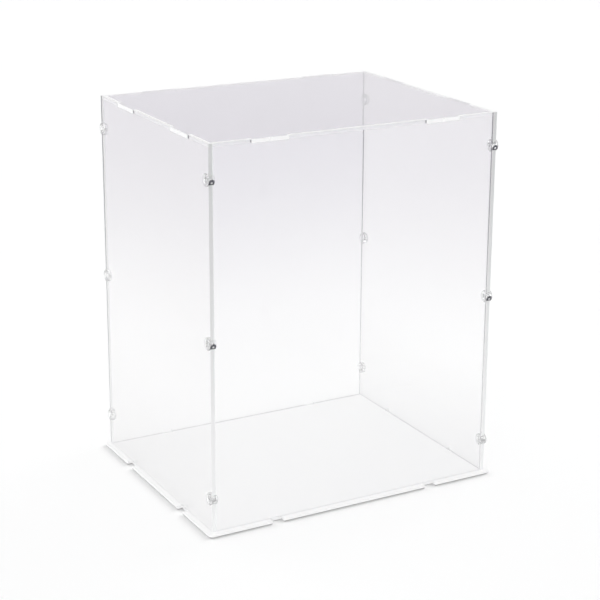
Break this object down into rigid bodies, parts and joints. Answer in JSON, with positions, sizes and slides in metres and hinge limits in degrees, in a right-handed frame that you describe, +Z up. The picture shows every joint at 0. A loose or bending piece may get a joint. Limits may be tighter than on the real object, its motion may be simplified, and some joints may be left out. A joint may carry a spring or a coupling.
{
  "type": "display case",
  "caption": "Table-top clear display case: flat-pack walls with moulded corner clips and a drop-in lid, on a thin white base plate.",
  "frame": {"origin": "centre of the base plate's underside, where the case stands on a table", "axes": "+Z up, +X to the right across the case's width, +Y to the back along its depth"},
  "size_m": [0.258, 0.208, 0.306],
  "materials": {
    "white_sheet": "satin gloss white acrylic sheet",
    "clear_sheet": "polished clear acrylic sheet with cut edges",
    "clear_clip": "clear moulded plastic"
  },
  "bodies": {
    "base": {"base_plate": "white_sheet"},
    "walls": {"left_panel": "clear_sheet", "right_panel": "clear_sheet", "front_panel": "clear_sheet", "back_panel": "clear_sheet", "clip_front_left_1": "clear_clip", "clip_front_left_2": "clear_clip", "clip_front_left_3": "clear_clip", "clip_front_right_1": "clear_clip", "clip_front_right_2": "clear_clip", "clip_front_right_3": "clear_clip", "clip_back_right_1": "clear_clip", "clip_back_right_2": "clear_clip", "clip_back_right_3": "clear_clip", "clip_back_left_1": "clear_clip", "clip_back_left_2": "clear_clip", "clip_back_left_3": "clear_clip"},
    "lid": {"top_panel": "clear_sheet"}
  },
  "joints": [
    {"name": "walls_lift", "type": "slide", "parent": "base", "child": "walls", "axis": [0, 0, 1], "range_m": [0, 0.32]},
    {"name": "lid_lift", "type": "slide", "parent": "walls", "child": "lid", "axis": [0, 0, 1], "range_m": [0, 0.12]}
  ]
}
